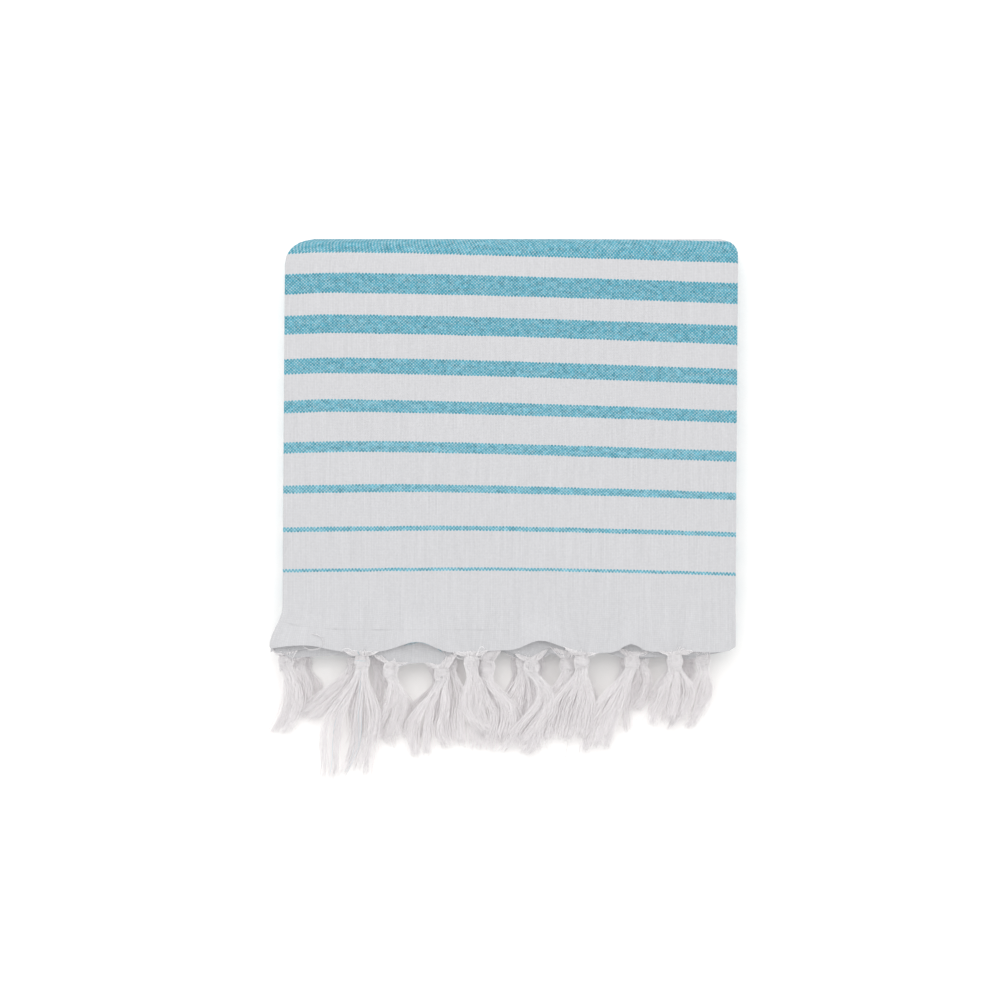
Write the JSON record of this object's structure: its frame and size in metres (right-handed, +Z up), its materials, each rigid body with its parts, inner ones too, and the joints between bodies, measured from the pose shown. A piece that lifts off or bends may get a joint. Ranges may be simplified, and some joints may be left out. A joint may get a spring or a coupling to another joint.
{
  "type": "bath towel",
  "caption": "Flat-woven striped cotton bath towel with knotted fringed ends, folded into a flat square stack that opens at its back fold.",
  "frame": {"origin": "middle of the bounding box on the surface that the folded towel lies on", "axes": "+Z up through the stack, +Y from the fringe to the folded back edge, +X across the towel"},
  "size_m": [0.2448, 0.284, 0.0178],
  "materials": {
    "cotton_cloth": "matte plain weave, white, with turquoise weft stripes that get wider away from each woven end",
    "fringe_yarn": "matte loose white cotton warp threads"
  },
  "bodies": {
    "lower_stack": {"panel_2": "cotton_cloth", "panel_7": "cotton_cloth", "panel_6": "cotton_cloth", "panel_3": "cotton_cloth", "front_fold_6_7": "cotton_cloth", "front_fold_2_3": "cotton_cloth", "back_fold_3_4": "cotton_cloth", "back_fold_5_6": "cotton_cloth", "back_fold_7_8": "cotton_cloth", "back_fold_1_2": "cotton_cloth"},
    "upper_stack": {"panel_4": "cotton_cloth", "panel_5": "cotton_cloth", "panel_8": "cotton_cloth", "panel_1": "cotton_cloth", "front_fold_4_5": "cotton_cloth", "tassel_a1_1": "fringe_yarn", "tassel_a1_2": "fringe_yarn", "tassel_a1_3": "fringe_yarn", "tassel_a1_4": "fringe_yarn", "tassel_a2_1": "fringe_yarn", "tassel_a2_2": "fringe_yarn", "tassel_a2_3": "fringe_yarn", "tassel_a2_4": "fringe_yarn", "tassel_a3_1": "fringe_yarn", "tassel_a3_2": "fringe_yarn", "tassel_a3_3": "fringe_yarn", "tassel_a3_4": "fringe_yarn", "tassel_a4_1": "fringe_yarn", "tassel_a4_2": "fringe_yarn", "tassel_a4_3": "fringe_yarn", "tassel_a4_4": "fringe_yarn", "tassel_b1_1": "fringe_yarn", "tassel_b1_2": "fringe_yarn", "tassel_b1_3": "fringe_yarn", "tassel_b1_4": "fringe_yarn", "tassel_b2_1": "fringe_yarn", "tassel_b2_2": "fringe_yarn", "tassel_b2_3": "fringe_yarn", "tassel_b2_4": "fringe_yarn", "tassel_b3_1": "fringe_yarn", "tassel_b3_2": "fringe_yarn", "tassel_b3_3": "fringe_yarn", "tassel_b3_4": "fringe_yarn", "tassel_b4_1": "fringe_yarn", "tassel_b4_2": "fringe_yarn", "tassel_b4_3": "fringe_yarn", "tassel_b4_4": "fringe_yarn"}
  },
  "joints": [
    {"name": "top_fold", "type": "hinge", "parent": "lower_stack", "child": "upper_stack", "pos_m": [0, 0.13303, 0.00887], "axis": [-1, 0, 0], "range_deg": [0, 179.9], "deforming": ["back_fold_3_4", "back_fold_5_6", "back_fold_7_8", "back_fold_1_2"]}
  ]
}
